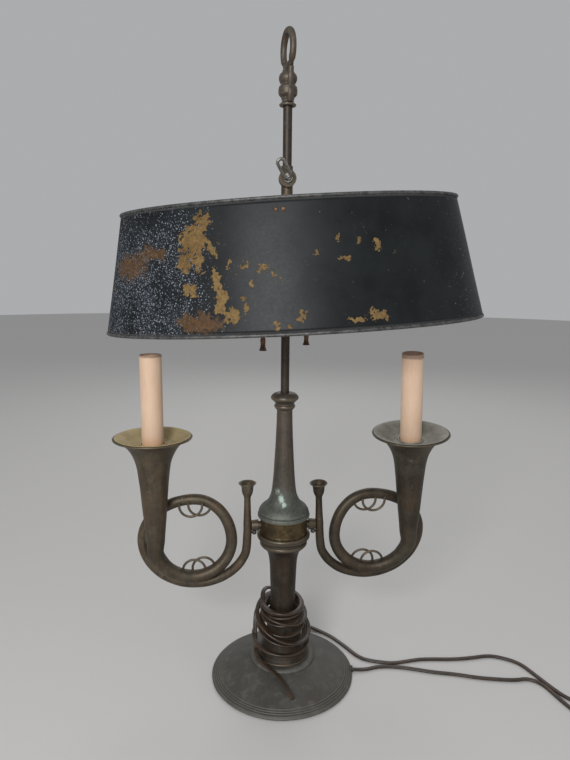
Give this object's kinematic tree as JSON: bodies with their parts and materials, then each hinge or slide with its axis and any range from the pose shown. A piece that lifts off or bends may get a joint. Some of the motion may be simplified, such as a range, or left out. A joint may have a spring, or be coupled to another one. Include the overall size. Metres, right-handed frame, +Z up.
{
  "type": "bouillotte table lamp",
  "caption": "Bronze table lamp with hunting-horn candle arms and an oval black metal shade that slides on a central rod.",
  "frame": {"origin": "centre of the felt under the foot, on the axis of the rod", "axes": "+Z up along the rod; X along the two arms, -X to the left arm; -Y is the front"},
  "size_m": [0.5928, 0.2617, 0.7251],
  "materials": {
    "aged_bronze": "dull dark patina with worn golden highlights",
    "foot_bronze": "grey-green patina with pale haze",
    "verdigris_bronze": "grey-green verdigris over dark bronze",
    "yellow_brass": "rubbed golden brass, tarnished at the edges",
    "dark_steel": "dull dark steel",
    "bright_steel": "worn grey metal",
    "black_tole": "black lacquer with ochre worn patches and fine white specks",
    "rim_metal": "dark worn metal bead with silver highlights",
    "copper": "dull copper",
    "candle_card": "salmon card with dirt at the bottom",
    "socket_black": "black insulating body",
    "liner_fibre": "brown fibre",
    "felt": "worn green felt",
    "cord_brown": "glossy brown twin flex"
  },
  "bodies": {
    "stand": {"foot": "foot_bronze", "base_felt": "felt", "cord_bushing": "socket_black", "rod_washer": "dark_steel", "rod_nut": "dark_steel", "rod": "aged_bronze", "pedestal": "aged_bronze", "arm_drum": "yellow_brass", "upper_column": "verdigris_bronze", "column_cap": "aged_bronze", "finial_base": "aged_bronze", "finial_loop": "aged_bronze", "stub_screws": "dark_steel", "cluster_body": "aged_bronze", "cluster_screw": "dark_steel", "cord_lead": "cord_brown", "cord_bundle": "cord_brown", "cord_tail": "cord_brown", "left_arm_stub": "aged_bronze", "left_mouthpiece": "aged_bronze", "left_horn_tube": "aged_bronze", "left_horn_bell": "aged_bronze", "left_crook_rings": "aged_bronze", "left_drip_dish": "aged_bronze", "left_candle_nipple": "dark_steel", "left_candle_socket": "socket_black", "left_candle_shell": "yellow_brass", "left_socket_cap": "yellow_brass", "left_socket_shell": "yellow_brass", "left_socket_liner": "liner_fibre", "left_chain_guide": "yellow_brass", "right_arm_stub": "aged_bronze", "right_mouthpiece": "aged_bronze", "right_horn_tube": "aged_bronze", "right_horn_bell": "aged_bronze", "right_crook_rings": "aged_bronze", "right_drip_dish": "aged_bronze", "right_candle_nipple": "dark_steel", "right_candle_socket": "socket_black", "right_candle_shell": "yellow_brass", "right_socket_cap": "yellow_brass", "right_socket_shell": "yellow_brass", "right_socket_liner": "liner_fibre", "right_chain_guide": "yellow_brass"},
    "shade_carrier": {"shade_carrier": "aged_bronze"},
    "shade_key": {"key_screw": "bright_steel", "key_handle": "bright_steel"},
    "shade": {"shade_wall": "black_tole", "shade_top_bead": "rim_metal", "shade_bottom_bead": "rim_metal", "shade_strap": "dark_steel", "strap_rivets": "copper", "shade_hub": "dark_steel"},
    "left_pull": {"left_pull_bell": "copper", "left_pull_chain": "copper"},
    "right_pull": {"right_pull_bell": "copper", "right_pull_chain": "copper"},
    "left_candle": {"left_candle_cover": "candle_card"},
    "right_candle": {"right_candle_cover": "candle_card"}
  },
  "joints": [
    {"name": "shade_slide", "type": "slide", "parent": "stand", "child": "shade_carrier", "axis": [0, 0, 1], "range_m": [-0.05, 0.055]},
    {"name": "key_turn", "type": "hinge", "parent": "shade_carrier", "child": "shade_key", "pos_m": [0, -0.01, 0.577], "axis": [0, -1, 0], "range_deg": [0, 270]},
    {"name": "shade_swivel", "type": "hinge", "parent": "shade_carrier", "child": "shade", "pos_m": [0, 0, 0.541], "axis": [0, 0, 1], "continuous": true},
    {"name": "left_chain_pull", "type": "slide", "parent": "stand", "child": "left_pull", "axis": [0, 0, -1], "range_m": [0, 0.008], "stiffness_N_per_m": 120, "springref_m": -0.004},
    {"name": "left_candle_lift", "type": "slide", "parent": "stand", "child": "left_candle", "axis": [0, 0, 1], "range_m": [0, 0.1]},
    {"name": "right_chain_pull", "type": "slide", "parent": "stand", "child": "right_pull", "axis": [0, 0, -1], "range_m": [0, 0.008], "stiffness_N_per_m": 120, "springref_m": -0.004},
    {"name": "right_candle_lift", "type": "slide", "parent": "stand", "child": "right_candle", "axis": [-0.0452, -0.0785, 0.9959], "range_m": [0, 0.1]}
  ]
}
